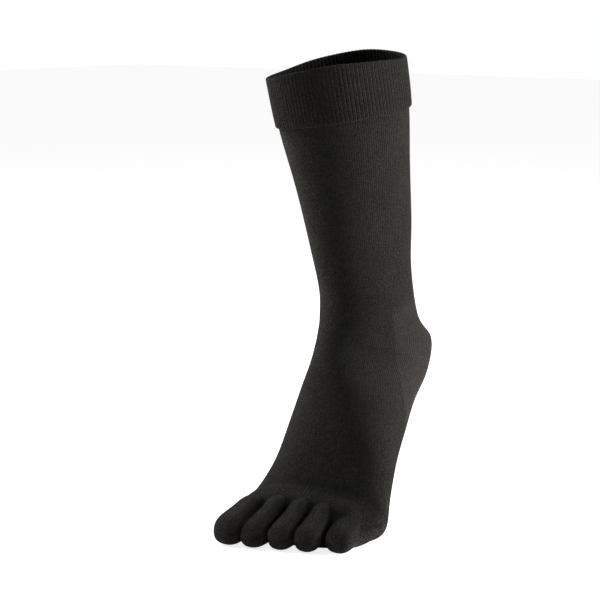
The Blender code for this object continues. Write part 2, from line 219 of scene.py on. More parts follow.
# The stage: half the floor's width, its roughness, and the lights, each with its place and its
# share of the key light's power, all of one size and turned to the middle of the sock.
FLOOR_HALF = 6.0
FLOOR_ROUGHNESS = 0.8
LIGHT_SIZE = 0.8
LIGHT_TARGET = (0.0, 0.02, -0.17)
LIGHTS = {
    "key": ((1.15, 0.95, 0.25), 1.0),
    "rim": ((-1.30, 0.15, 0.30), 0.34),
    "top": ((-0.95, -0.45, 0.95), 0.38),
}
WHITE = (1.0, 1.0, 1.0, 1.0)
SENSOR_WIDTH = 36.0


def rows_of(named, columns):
    """A table's rows as dictionaries, in order."""
    return [dict(zip(columns, row)) for row in named.values()]


def lifted(along, height, share):
    """A point of the foot in side view, turned about the ball by a share of the heel's lift."""
    turn = HEEL_LIFT * share
    return np.array((
        along * math.cos(turn) - height * math.sin(turn),
        along * math.sin(turn) + height * math.cos(turn),
    ))


def leg_axis():
    """The ankle's middle, the way up the leg and the way forward, in side view."""
    ankle = lifted(ANKLE_ALONG * BALL_TO_HEEL, ANKLE_HEIGHT * INSTEP_HEIGHT, 1.0)
    up = np.array((-math.sin(LEG_LEAN), math.cos(LEG_LEAN)))
    return ankle, up, np.array((-up[1], up[0]))


def sections():
    """Each section as front y, z, back y, z, half width, shift, skew and its two exponents."""
    found = []
    for row in rows_of(FOOT_ROWS, FOOT_COLUMNS):
        front = lifted(row["top_along"] * BALL_TO_HEEL, row["top_height"] * INSTEP_HEIGHT, row["lift"])
        back = lifted(row["sole_along"] * BALL_TO_HEEL, row["sole_height"] * INSTEP_HEIGHT, row["lift"])
        skew = math.tan(row["skew"] * TOE_LINE_SKEW)
        widths = (row["half"] * BALL_WIDTH / 2, row["shift"] * BALL_WIDTH, skew)
        found.append((*front, *back, *widths, row["round_top"], row["round_sole"]))
    ankle, up, forward = leg_axis()
    for row in rows_of(LEG_ROWS, LEG_COLUMNS):
        middle = ankle + up * row["rise"] * LEG_HEIGHT
        front = middle + forward * row["front"] * CALF_DEPTH / 2
        back = middle - forward * row["back"] * CALF_DEPTH / 2
        found.append((*front, *back, row["half"] * CALF_WIDTH / 2, 0.0, 0.0, LEG_ROUND, LEG_ROUND))
    return np.array(found)


def between(rows, places):
    """A smooth curve through the rows of a table, read at fractional row numbers."""
    last = len(rows) - 1
    first = np.minimum(places.astype(int), last - 1)
    t = (places - first)[:, None]
    before = np.where((first == 0)[:, None], 2 * rows[0] - rows[1], rows[np.maximum(first - 1, 0)])
    beyond = 2 * rows[last] - rows[last - 1]
    after = np.where((first + 2 > last)[:, None], beyond, rows[np.minimum(first + 2, last)])
    a, b = rows[first], rows[first + 1]
    cubic = 3 * a - before - 3 * b + after
    square = 2 * before - 5 * a + 4 * b - after
    return 0.5 * (2 * a + (b - before) * t + square * t**2 + cubic * t**3)


def rounded(angles, exponents):
    """Cosines and sines of superellipses with these exponents."""
    cosine, sine = np.cos(angles), np.sin(angles)
    power = 2.0 / exponents
    return np.copysign(np.abs(cosine) ** power, cosine), np.copysign(np.abs(sine) ** power, sine)


def section_grid(rows, around):
    """A grid of points, one row for each section, none of them under the ground."""
    angles = np.linspace(0.0, 2 * math.pi, around, endpoint=False)[None, :]
    front_y, front_z, back_y, back_z, half, shift, skew, top, sole = rows.T[:, :, None]
    across, forward = rounded(angles, np.where(np.sin(angles) > 0, top, sole))
    x = half * across
    y = (front_y + back_y) / 2 + forward * (front_y - back_y) / 2
    z = (front_z + back_z) / 2 + forward * (front_z - back_z) / 2
    return np.stack((x + shift, y + skew * x, np.maximum(z, 0.0)), axis=-1)


def leg_sections(rises):
    """Sections of the leg at heights along it from the ankle's middle, also past the mouth."""
    rows = sections()
    known = [row["rise"] * LEG_HEIGHT for row in rows_of(LEG_ROWS, LEG_COLUMNS)]
    places = len(FOOT_ROWS) + np.interp(rises, known, range(len(known)))
    found = between(rows, places)
    beyond = np.maximum(rises - LEG_HEIGHT, 0.0)[:, None]
    up = leg_axis()[1][None, :]
    found[:, 0:2] += up * beyond
    found[:, 2:4] += up * beyond
    return found


def tilt_axis():
    """Which way the cuff is tipped up: forward and towards the outer side, square to the leg."""
    forward = leg_axis()[2]
    return np.array((math.sin(TILT_TURN), *(forward * math.cos(TILT_TURN))))


def cuff_edges(around):
    """How far up the leg the cuff's lower edge and the mouth's edge lie at each point round it."""
    ankle, up, _ = leg_axis()
    middle = np.array((0.0, *(ankle + up * LEG_HEIGHT)))
    ring = section_grid(leg_sections(np.array([LEG_HEIGHT])), around)[0]
    ahead = (ring - middle) @ tilt_axis()
    tipped = LEG_HEIGHT + math.tan(CUFF_TILT) * ahead
    return tipped - CUFF_HEIGHT, tipped + MOUTH_BOW * (2 * (ahead / ahead.max()) ** 2 - 1)


def body_grid(around, along):
    """The foot and leg without the toes, from the webs to a little past the mouth."""
    rows = sections()
    main = between(rows, np.linspace(0.0, len(rows) - 1.0, along))
    past = leg_sections(LEG_HEIGHT + np.linspace(0.0, SPARE, LEVELS_PAST_MOUTH)[1:])
    return section_grid(np.concatenate((main, past)), around)


def toe_line_y(across):
    """Where the toes are joined on, across the foot."""
    row = dict(zip(FOOT_COLUMNS, FOOT_ROWS["toe_line"]))
    middle = (row["top_along"] + row["sole_along"]) / 2 * BALL_TO_HEEL
    return middle + math.tan(TOE_LINE_SKEW) * across


def toe_grid(toe, around, along):
    """One toe's sections from its root to its tip."""
    root_x, tip_x = toe["root"] * BALL_WIDTH, toe["tip"] * BALL_WIDTH
    root = np.array((root_x, toe_line_y(root_x) + TOE_ROOT_DEPTH))
    tip = np.array((tip_x, -toe["ahead"] * TOE_REACH))
    heading = (tip - root) / np.linalg.norm(tip - root)
    beside = np.array((-heading[1], heading[0]))
    width, height = toe["width"] * TOE_WIDTH, toe["height"] * TOE_HEIGHT
    rows = np.array(list(TOE_ROWS.values()))
    closing = along // 2
    shapes = between(rows, np.linspace(0.0, len(rows) - 1.0, along - closing))
    turns = np.linspace(0.0, math.pi / 2, closing + 1)[1:]
    open_share, advance = rounded(turns, TOE_TIP_ROUND)
    open_part = dict(zip(TOE_ROW_COLUMNS, shapes.T))
    last = dict(zip(TOE_ROW_COLUMNS, rows[-1]))
    reach = np.concatenate((open_part["reach"], last["reach"] + (1.0 - last["reach"]) * advance))
    wide, slope, arch = (
        np.concatenate((open_part[name], np.full(closing, last[name]))) for name in TOE_ROW_COLUMNS[1:]
    )
    share = np.concatenate((np.ones(along - closing), np.maximum(open_share, TIP_SHARE)))
    middle = TOE_MIDDLE * height
    fall = 1.0 - TOE_TOP_FALL * np.concatenate((np.zeros(along - closing), advance))
    root_height = TOE_ROOT_HEIGHT * toe["rise"]
    top = middle + (height + slope * (root_height - height) - middle) * share * fall
    sole = middle + (arch * height - middle) * share
    half = wide * (1 + (toe["base"] - 1) * slope) * width / 2 * share
    angles = np.linspace(0.0, 2 * math.pi, around, endpoint=False)[None, :]
    across, rise = rounded(angles, (TOE_ROUND + TOE_ROOT_SQUARER * slope)[:, None])
    place = root + (tip - root) * reach[:, None]
    flat = place[:, None, :] + beside * (across * half[:, None])[..., None]
    z = (top + sole)[:, None] / 2 + rise * (top - sole)[:, None] / 2
    return np.concatenate((flat, z[..., None]), axis=-1)


def mouth_middle():
    """The middle of the mouth in the layout's own frame, which is the frame's origin."""
    row = sections()[-1]
    return np.array((0.0, *((row[0:2] + row[2:4]) / 2)))


def new_object(name, data):
    """An object for this mesh, light or camera at the origin, linked to the scene."""
    obj = bpy.data.objects.new(name, data)
    bpy.context.scene.collection.objects.link(obj)
    return obj


def aim(obj, place, target):
    """Puts a light or camera in its place and turns it to a target."""
    obj.location = place
    obj.rotation_euler = (target - obj.location).to_track_quat("-Z", "Y").to_euler()


def strip_faces(count, around, ring):
    """Faces from each row of a grid to the next, and in a ring also from the last row to the first."""
    faces = []
    for row in range(count if ring else count - 1):
        low, high = row * around, (row + 1) % count * around
        for step in range(around):
            after = (step + 1) % around
            faces.append((low + step, low + after, high + after, high + step))
    return faces


def closed_mesh(name, grid):
    """A closed mesh over a grid of points, capped at both ends."""
    count, around = grid.shape[:2]
    points = np.concatenate((grid.reshape(-1, 3), grid[0].mean(0)[None], grid[-1].mean(0)[None]))
    faces = strip_faces(count, around, False)
    first, last = count * around, count * around + 1
    for step in range(around):
        after = (step + 1) % around
        faces.append((first, after, step))
        faces.append((last, (count - 1) * around + step, (count - 1) * around + after))
    mesh = bpy.data.meshes.new(name)
    mesh.from_pydata(points.tolist(), [], faces)
    return mesh


def outward(mesh):
    """Turns every face outward."""
    bm = bmesh.new()
    bm.from_mesh(mesh)
    bmesh.ops.recalc_face_normals(bm, faces=bm.faces)
    bm.to_mesh(mesh)
    bm.free()


def applied(obj):
    """The object's mesh with its modifiers applied; the object and its old mesh are removed."""
    graph = bpy.context.evaluated_depsgraph_get()
    mesh = bpy.data.meshes.new_from_object(obj.evaluated_get(graph))
    old = obj.data
    bpy.data.objects.remove(obj)
    if old.users == 0:
        bpy.data.meshes.remove(old)
    return mesh


def soften(obj, name, times):
    """Smooths an object's surface this many times."""
    smooth = obj.modifiers.new(name, "SMOOTH")
    smooth.factor = SMOOTH_FACTOR
    smooth.iterations = times


def fused_form(form):
    """The foot, leg and toes as one smooth closed surface."""
    origin = mouth_middle()
    bm = bmesh.new()
    grids = [body_grid(FORM_AROUND, FORM_ALONG)]
    for toe in rows_of(TOES, TOE_COLUMNS):
        grids.append(toe_grid(toe, TOE_FORM_AROUND, TOE_FORM_ALONG))
    for grid in grids:
        part = closed_mesh("fused_part", grid - origin)
        outward(part)
        bm.from_mesh(part)
        bpy.data.meshes.remove(part)
    mesh = bpy.data.meshes.new("fused_form")
    bm.to_mesh(mesh)
    bm.free()
    obj = new_object("fused_form", mesh)
    remesh = obj.modifiers.new("fuse", "REMESH")
    remesh.mode = "VOXEL"
    remesh.voxel_size = form.voxel
    soften(obj, "soften", form.softening)
    thin = obj.modifiers.new("fewer_faces", "DECIMATE")
    thin.ratio = form.faces_kept
    return applied(obj)


def seam_planes():
    """The point and the two directions that bound the heel pocket, in side view."""
    ankle, up, forward = leg_axis()
    hinge = ankle + up * ANKLE_SEAM_RISE * LEG_HEIGHT + forward * HEEL_HINGE * CALF_DEPTH
    turned = np.array((
        up[0] * math.cos(HEEL_SPREAD) - up[1] * math.sin(HEEL_SPREAD),
        up[0] * math.sin(HEEL_SPREAD) + up[1] * math.cos(HEEL_SPREAD),
    ))
    return hinge, up, -turned


def open_top(mesh):
    """Cuts the closed form off just inside the cuff, along the cuff's tilt."""
    ankle, up, _ = leg_axis()
    place = np.array((0.0, *(ankle + up * (LEG_HEIGHT - CUFF_HEIGHT + BODY_EMBED)))) - mouth_middle()
    normal = np.array((0.0, *up)) - tilt_axis() * math.tan(CUFF_TILT)
    bm = bmesh.new()
    bm.from_mesh(mesh)
    bmesh.ops.bisect_plane(
        bm, geom=bm.verts[:] + bm.edges[:] + bm.faces[:], clear_outer=True,
        plane_co=place.tolist(), plane_no=normal.tolist(),
    )
    bm.to_mesh(mesh)
    bm.free()


def chart(grid, wales, course):
    """Samples of a reference surface: points, knit coordinates and their slopes."""
    count, around = grid.shape[:2]
    steps = np.linalg.norm(np.diff(grid, axis=0), axis=2)
    along = np.concatenate((np.zeros((1, around)), np.cumsum(steps, axis=0)))
    v = along / course
    u = np.broadcast_to(np.arange(around) / around * wales, (count, around))
    d_around = (np.roll(grid, -1, axis=1) - np.roll(grid, 1, axis=1)) / 2
    d_along = np.gradient(grid, axis=0)
    dv_around = (np.roll(v, -1, axis=1) - np.roll(v, 1, axis=1)) / 2
    dv_along = np.gradient(v, axis=0)
    tree = kdtree.KDTree(count * around)
    for i, point in enumerate(grid.reshape(-1, 3)):
        tree.insert(point, i)
    tree.balance()
    flat = [a.reshape(-1, *a.shape[2:]) for a in (grid, u, v, d_around, d_along, dv_around, dv_along)]
    return {"tree": tree, "wales": wales, "step": wales / around, "data": flat}


def located(charted, points):
    """For each point, its distance from the reference surface and its knit coordinates there."""
    found = [charted["tree"].find(point) for point in points]
    index = np.array([hit[1] for hit in found])
    distance = np.array([hit[2] for hit in found])
    grid, u, v, d_around, d_along, dv_around, dv_along = (a[index] for a in charted["data"])
    offset = points - grid
    aa = (d_around**2).sum(1)
    bb = (d_along**2).sum(1)
    ab = (d_around * d_along).sum(1)
    pa = (offset * d_around).sum(1)
    pb = (offset * d_along).sum(1)
    area = np.maximum(aa * bb - ab**2, LEAST_AREA)
    s = np.clip((pa * bb - pb * ab) / area, -SAMPLE_REACH, SAMPLE_REACH)
    t = np.clip((pb * aa - pa * ab) / area, -SAMPLE_REACH, SAMPLE_REACH)
    return distance, u + s * charted["step"], v + s * dv_around + t * dv_along


def knit_map(mesh, form):
    """Gives the surface a UV map that counts wales round the sock and courses along it."""
    origin = mouth_middle()
    body = chart(body_grid(BODY_AROUND, BODY_ALONG) - origin, form.wales, form.course)
    toes = [
        chart(toe_grid(toe, TOE_AROUND, TOE_ALONG) - origin, form.toe_wales, form.course)
        for toe in rows_of(TOES, TOE_COLUMNS)
    ]
    count = len(mesh.vertices)
    points = np.empty(count * 3)
    mesh.vertices.foreach_get("co", points)
    points = points.reshape(-1, 3)
    low = (points[:, 1] + origin[1] < TOES_BACK) & (points[:, 2] + origin[2] < TOES_TOP)
    near = np.flatnonzero(low)
    charts = [body, *toes]
    # Each vertex starts a metre away from every chart, which is further than any real distance.
    distance = np.ones((len(charts), count))
    u = np.zeros((len(charts), count))
    v = np.zeros((len(charts), count))
    distance[0], u[0], v[0] = located(body, points)
    for i, toe in enumerate(toes, start=1):
        distance[i, near], u[i, near], v[i, near] = located(toe, points[near])
    totals = np.array([polygon.loop_total for polygon in mesh.polygons])
    corners = np.empty(len(mesh.loops), dtype=int)
    mesh.loops.foreach_get("vertex_index", corners)
    face_of = np.repeat(np.arange(len(totals)), totals)
    away = np.stack([np.bincount(face_of, row[corners]) / totals for row in distance])
    chosen = away.argmin(0)[face_of]
    periods = np.array([c["wales"] for c in charts])[chosen]
    corner_u, corner_v = u[chosen, corners], v[chosen, corners]
    starts = np.concatenate(([0], np.cumsum(totals)[:-1]))
    first = corner_u[starts][face_of]
    corner_u = corner_u - np.round((corner_u - first) / periods) * periods
    layer = mesh.uv_layers.new(name="knit")
    layer.data.foreach_set("uv", np.stack((corner_u, corner_v), axis=1).ravel())
    return points


def heel_mark(mesh, points):
    """Stores how far inside the heel pocket each vertex lies, from 0 to 1 across its edge."""
    origin = mouth_middle()
    hinge, up, back = seam_planes()
    side = points[:, 1:3] + origin[1:3] - hinge
    inside = np.minimum(-(side @ up), side @ back)
    share = np.clip(inside / HEEL_EDGE + 0.5, 0.0, 1.0)
    attribute = mesh.attributes.new("heel", "FLOAT", "POINT")
    attribute.data.foreach_set("value", share)


def crease_shade_mark(mesh, reach, depth):
    """Stores how deep in a hollow each vertex lies, from 0 to 1, such as between two toes, where the knit
    is painted darker as shade.
    """
    obj = new_object("filled", mesh.copy())
    soften(obj, "fill", reach)
    filled = applied(obj)
    count = len(mesh.vertices)
    points, raised, normals = (np.empty(count * 3) for _ in range(3))
    mesh.vertices.foreach_get("co", points)
    filled.vertices.foreach_get("co", raised)
    mesh.vertex_normals.foreach_get("vector", normals)
    bpy.data.meshes.remove(filled)
    rise = ((raised - points) * normals).reshape(-1, 3).sum(1)
    attribute = mesh.attributes.new("crease", "FLOAT", "POINT")
    attribute.data.foreach_set("value", np.clip(rise / depth, 0.0, 1.0))


def cuff_profile():
    """The cuff's rounded section: share of its height, extra height, distance from the leg and rib
    weight, up the outside, over the rim, down the inside and round the hem. Also half its wall."""
    half = CUFF_WALL / 2
    middle = CUFF_PROUD - half
    last = BAND_STEPS - 1
    profile = []
    for step in range(BAND_STEPS):
        weight = min(1.0, RIB_START + step / 2, RIB_END + (last - step) / 2)
        profile.append((step / last, 0.0, middle + half, weight))
    for step in range(1, RIM_STEPS):
        turn = math.pi * step / RIM_STEPS
        profile.append((1.0, half * math.sin(turn), middle + half * math.cos(turn), RIB_RIM))
    for step in range(BAND_STEPS):
        weight = min(1.0, RIB_END + step / 2) * RIB_INSIDE
        profile.append((1 - step / last, 0.0, middle - half, weight))
    for step in range(1, HEM_STEPS):
        turn = math.pi * step / HEM_STEPS
        profile.append((0.0, -half * math.sin(turn), middle - half * math.cos(turn), RIB_HEM))
    return np.array(profile), half


def cuff_grid(around):
    """The cuff's section, swept round the mouth, with its height and rib weight at each point."""
    profile, half = cuff_profile()
    bottom, top = cuff_edges(around)
    angles = np.linspace(0.0, 2 * math.pi, around, endpoint=False)
    waves = sum(np.sin(count * angles + start) * share for count, start, share in MOUTH_WAVES)
    top = top + waves * MOUTH_UNEVEN
    share, extra, offset, weight = profile.T[:, :, None]
    rises = bottom + half + (top - bottom - 2 * half) * share + extra
    levels = np.linspace(bottom.min() - SPARE, LEG_HEIGHT + 2 * SPARE, CUFF_LEVELS)
    reference = section_grid(leg_sections(levels), around)
    place = (rises - levels[0]) / (levels[1] - levels[0])
    low = np.clip(place.astype(int), 0, len(levels) - 2)
    part = (place - low)[..., None]
    column = np.arange(around)[None, :]
    grid = reference[low, column] * (1 - part) + reference[low + 1, column] * part
    up = leg_axis()[1]
    tangent = np.roll(grid, -1, axis=1) - np.roll(grid, 1, axis=1)
    normal = np.cross(tangent, np.array((0.0, up[0], up[1])))
    normal /= np.linalg.norm(normal, axis=2, keepdims=True)
    return grid + normal * offset[..., None], rises, np.broadcast_to(weight, rises.shape)


def cuff_mesh(name, around):
    """The cuff as a closed band, with its place round the mouth and its rib weight stored."""
    grid, rises, weights = cuff_grid(around)
    count = len(grid)
    mesh = bpy.data.meshes.new(name)
    points = (grid.reshape(-1, 3) - mouth_middle()).tolist()
    mesh.from_pydata(points, [], strip_faces(count, around, True))
    angle = np.broadcast_to(np.arange(around) / around, (count, around)).ravel()
    mesh.attributes.new("around", "FLOAT", "POINT").data.foreach_set("value", angle)
    mesh.attributes.new("rib", "FLOAT", "POINT").data.foreach_set("value", weights.ravel())
    corners = np.empty(len(mesh.loops), dtype=int)
    mesh.loops.foreach_get("vertex_index", corners)
    u, v = angle[corners], rises.ravel()[corners]
    u = u - np.round(u - np.repeat(u[::4], 4))
    return mesh, mesh.uv_layers.new(name="knit"), u, v


def linear(hex_colour):
    """A linear colour from an sRGB hex string, by the sRGB curve."""
    parts = [int(hex_colour[i:i + 2], 16) / 255 for i in (1, 3, 5)]
    return tuple(p / 12.92 if p <= 0.04045 else ((p + 0.055) / 1.055) ** 2.4 for p in parts)


def add(tree, kind, settings=None, links=None):
    """Adds a node, sets its properties or sockets by name, and links sockets into it."""
    node = tree.nodes.new(kind)
    for key, value in (settings or {}).items():
        if isinstance(key, str) and hasattr(node, key):
            setattr(node, key, value)
        else:
            node.inputs[key].default_value = value
    for key, source in (links or {}).items():
        tree.links.new(source, node.inputs[key])
    return node


def maths(tree, operation, first, second=None):
    """A math node on sockets or numbers, as its output socket."""
    node = tree.nodes.new("ShaderNodeMath")
    node.operation = operation
    for i, value in enumerate((first, second)):
        if value is None:
            continue
        if isinstance(value, (int, float)):
            node.inputs[i].default_value = value
        else:
            tree.links.new(value, node.inputs[i])
    return node.outputs[0]


def noise(tree, vector, scale, detail, roughness):
    """A noise pattern with this many features to a metre, or to a stitch, as its output socket."""
    settings = {"Scale": scale, "Detail": detail, "Roughness": roughness}
    return add(tree, "ShaderNodeTexNoise", settings, {"Vector": vector}).outputs[0]


def swing(tree, pattern, gain):
    """How far a pattern is above or below its middle, times a gain."""
    return maths(tree, "MULTIPLY", maths(tree, "SUBTRACT", pattern, 0.5), gain)


def stitch_height(tree, u, v):
    """The height of plain knit: columns of small leaning loops, from 0 in the valleys to 1."""
    wale = maths(tree, "FRACT", u)
    side = maths(tree, "MULTIPLY", maths(tree, "ABSOLUTE", maths(tree, "SUBTRACT", wale, 0.5)), 2.0)
    leg = maths(tree, "SINE", maths(tree, "MULTIPLY", side, math.pi))
    lean = maths(tree, "FRACT", maths(tree, "ADD", v, maths(tree, "MULTIPLY", side, STITCH_LEAN)))
    loop = maths(tree, "SINE", maths(tree, "MULTIPLY", lean, math.pi))
    soft = maths(tree, "POWER", maths(tree, "MAXIMUM", leg, 0.0), STITCH_ROUND)
    dipped = maths(tree, "ADD", maths(tree, "MULTIPLY", loop, LOOP_DIP), 1.0 - LOOP_DIP)
    stitch = maths(tree, "MULTIPLY", soft, dipped)
    ridge = maths(tree, "ABSOLUTE", maths(tree, "SINE", maths(tree, "MULTIPLY", u, math.pi)))
    return maths(tree, "MULTIPLY", stitch, maths(tree, "ADD", ridge, VALLEY_FLOOR))


def knit_material(name, look, ribbed):
    """Black combed cotton with a little elastane, knitted fine: it is matt, with a soft haze of fibre
    ends that lightens it where the eye grazes it, and its wales show as thin lines, painted darker
    between the stitches as shade. The creases between the toes are painted darker as shade too."""
    material = bpy.data.materials.new(name)
    material.use_nodes = True
    tree = material.node_tree
    tree.nodes.clear()
    uv = add(tree, "ShaderNodeUVMap", {"uv_map": "knit"})
    split = add(tree, "ShaderNodeSeparateXYZ", links={0: uv.outputs[0]})
    height = stitch_height(tree, split.outputs[0], split.outputs[1])
    place = add(tree, "ShaderNodeTexCoord").outputs["Object"]
    fleck = noise(tree, place, FLECK_SCALE, 1.0, 0.5)
    stretch = add(
        tree, "ShaderNodeVectorMath", {"operation": "MULTIPLY", 1: STREAK_STRETCH}, {0: uv.outputs[0]},
    )
    streak = noise(tree, stretch.outputs[0], STREAK_SCALE, 1.0, 0.5)
    patch = noise(tree, place, PATCH_SCALE, 3.0, 0.55)
    uneven = maths(tree, "ADD", swing(tree, fleck, FLECK_GAIN), swing(tree, streak, STREAK_GAIN))
    level = maths(tree, "SUBTRACT", maths(tree, "MULTIPLY", height, HEIGHT_GAIN), TONE_DROP)
    level = maths(tree, "ADD", level, uneven)
    level = maths(tree, "ADD", level, swing(tree, patch, PATCH_GAIN))
    if not ribbed:
        heel = add(tree, "ShaderNodeAttribute", {"attribute_name": "heel"}).outputs["Fac"]
        level = maths(tree, "ADD", level, maths(tree, "MULTIPLY", heel, look.heel_lightness))
        # The creases between the toes are painted darker, as shade.
        crease = add(tree, "ShaderNodeAttribute", {"attribute_name": "crease"}).outputs["Fac"]
        level = maths(tree, "SUBTRACT", level, maths(tree, "MULTIPLY", crease, look.crease_shade))
    # The colour runs from painted shade low between the stitches to the yarn's own colour on them.
    ramp = add(tree, "ShaderNodeMix", {"data_type": "RGBA"})
    tree.links.new(level, ramp.inputs[0])
    ramp.inputs[6].default_value = (*look.valley, 1.0)
    ramp.inputs[7].default_value = (*look.yarn, 1.0)
    lit = maths(tree, "MAXIMUM", maths(tree, "ADD", level, FUZZ_LIFT), FUZZ_LEAST)
    fuzz = maths(tree, "MULTIPLY", lit, look.sheen)
    relief = maths(tree, "ADD", height, maths(tree, "MULTIPLY", fleck, FLECK_RELIEF))
    bump = add(
        tree, "ShaderNodeBump", {"Strength": look.relief, "Distance": STITCH_DEPTH}, {"Height": relief},
    )
    shader = add(
        tree, "ShaderNodeBsdfPrincipled",
        {
            "Roughness": YARN_ROUGHNESS, "Specular IOR Level": YARN_SPECULAR,
            "Sheen Roughness": FUZZ_ROUGHNESS, "Sheen Tint": (*look.haze, 1.0),
        },
        {"Base Color": ramp.outputs[2], "Sheen Weight": fuzz, "Normal": bump.outputs[0]},
    )
    add(tree, "ShaderNodeOutputMaterial", links={0: shader.outputs[0]})
    return material


def rib_group(material):
    """Geometry nodes that raise the ribs of the cuff."""
    group = bpy.data.node_groups.new("Cuff Ribs", "GeometryNodeTree")
    face = group.interface
    face.new_socket("Geometry", in_out="INPUT", socket_type="NodeSocketGeometry")
    count = face.new_socket("Rib Count", in_out="INPUT", socket_type="NodeSocketInt")
    height = face.new_socket("Rib Height", in_out="INPUT", socket_type="NodeSocketFloat")
    face.new_socket("Geometry", in_out="OUTPUT", socket_type="NodeSocketGeometry")
    start = group.nodes.new("NodeGroupInput")
    around = add(group, "GeometryNodeInputNamedAttribute", {"data_type": "FLOAT", "Name": "around"})
    weight = add(group, "GeometryNodeInputNamedAttribute", {"data_type": "FLOAT", "Name": "rib"})
    turns = maths(group, "MULTIPLY", around.outputs[0], start.outputs["Rib Count"])
    wave = maths(group, "ABSOLUTE", maths(group, "SINE", maths(group, "MULTIPLY", turns, math.pi)))
    ridge = maths(group, "SUBTRACT", maths(group, "POWER", wave, RIB_POWER), RIB_DROP)
    weighted = maths(group, "MULTIPLY", ridge, weight.outputs[0])
    lift = maths(group, "MULTIPLY", weighted, start.outputs["Rib Height"])
    normal = group.nodes.new("GeometryNodeInputNormal")
    offset = add(
        group, "ShaderNodeVectorMath", {"operation": "SCALE"},
        {"Vector": normal.outputs[0], "Scale": lift},
    )
    moved = add(
        group, "GeometryNodeSetPosition",
        links={"Geometry": start.outputs["Geometry"], "Offset": offset.outputs[0]},
    )
    real = add(group, "GeometryNodeRealizeInstances", links={0: moved.outputs[0]})
    painted = add(group, "GeometryNodeSetMaterial", {"Material": material}, {"Geometry": real.outputs[0]})
    add(group, "NodeGroupOutput", links={0: painted.outputs[0]})
    return group, count.identifier, height.identifier


def finished(name, mesh, nodes):
    """Puts a finished mesh in the scene as a piece that stands for these nodes."""
    mesh.shade_smooth()
    mesh.name = name
    obj = new_object(name, mesh)
    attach(obj, "root")
    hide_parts(*nodes)


class ToeSockForm(bpy.types.PropertyGroup):
    """How the plain knit of the sock is made."""

    voxel: bpy.props.FloatProperty(
        name="Fineness", description="Size of the faces of the finished surface",
        default=0.0012, min=0.0008, subtype="DISTANCE", unit="LENGTH", precision=5,
    )
    faces_kept: bpy.props.FloatProperty(
        name="Faces kept", description="Share of the faces kept where the surface is plain",
        default=0.54, min=0.1, max=1.0,
    )
    softening: bpy.props.IntProperty(
        name="Softening", description="How often the joins between the toes are smoothed",
        default=3, min=0,
    )
    crease_reach: bpy.props.IntProperty(
        name="Crease reach", description="How wide a hollow still counts as a crease", default=40, min=1,
    )
    crease_depth: bpy.props.FloatProperty(
        name="Crease depth", description="How deep a crease is where it is darkest",
        default=0.0010, min=0.0001, subtype="DISTANCE", unit="LENGTH", precision=5,
    )
    wales: bpy.props.IntProperty(
        name="Wales", description="Columns of stitches round the leg", default=168, min=20,
    )
    toe_wales: bpy.props.IntProperty(
        name="Toe wales", description="Columns of stitches round a toe", default=36, min=8,
    )
    course: bpy.props.FloatProperty(
        name="Course", description="Height of one row of stitches",
        default=0.0013, min=0.0004, subtype="DISTANCE", unit="LENGTH", precision=5,
    )


class ToeSockCuff(bpy.types.PropertyGroup):
    """The ribbed cuff."""

    ribs: bpy.props.IntProperty(name="Ribs", description="Ribs round the cuff", default=104, min=10)
    rib_height: bpy.props.FloatProperty(
        name="Rib height", description="How far a rib stands out of its valleys",
        default=0.0006, min=0.0, subtype="DISTANCE", unit="LENGTH", precision=5,
    )


class ToeSockLook(bpy.types.PropertyGroup):
    """The yarn."""

    yarn: bpy.props.FloatVectorProperty(
        name="Yarn", description="Colour of the yarn", default=linear("#282622"),
        subtype="COLOR", min=0.0, max=1.0,
    )
    # Painted shade: the colour given to the knit low between the stitches.
    valley: bpy.props.FloatVectorProperty(
        name="Valley", description="Colour between the stitches", default=linear("#070706"),
        subtype="COLOR", min=0.0, max=1.0,
    )
    haze: bpy.props.FloatVectorProperty(
        name="Haze", description="Colour of the fibre ends", default=linear("#d0c4b6"),
        subtype="COLOR", min=0.0, max=1.0,
    )
    sheen: bpy.props.FloatProperty(
        name="Fuzz", description="How much the fibre ends catch the light",
        default=0.30, min=0.0, max=1.0,
    )
    relief: bpy.props.FloatProperty(
        name="Relief", description="How strongly the stitches show", default=0.8, min=0.0, max=1.0,
    )
    # Painted shade: how much darker the knit is coloured in the creases between the toes.
    crease_shade: bpy.props.FloatProperty(
        name="Creases", description="How much darker the creases between the toes are",
        default=2.4, min=0.0,
    )
    heel_lightness: bpy.props.FloatProperty(
        name="Heel", description="How much lighter the heel pocket is", default=0.45, min=0.0, max=1.0,
    )


class ToeSockStage(bpy.types.PropertyGroup):
    """The floor, the lights and the camera."""

    floor: bpy.props.FloatVectorProperty(
        name="Floor", description="Colour of the floor", default=linear("#f4f4f4"),
        subtype="COLOR", min=0.0, max=1.0,
    )
    floor_glow: bpy.props.FloatProperty(
        name="Floor glow", description="How much brighter the floor looks than it is lit",
        default=0.90, min=0.0,
    )
    key: bpy.props.FloatProperty(
        name="Key light", description="Power of the light on the outer side", default=32.0, min=0.0,
        subtype="POWER", unit="POWER",
    )
    sky: bpy.props.FloatProperty(
        name="Fill", description="Brightness of the white surroundings", default=0.15, min=0.0,
    )
    lens: bpy.props.FloatProperty(
        name="Lens", description="Focal length", default=125.5, min=1.0, subtype="DISTANCE_CAMERA",
    )


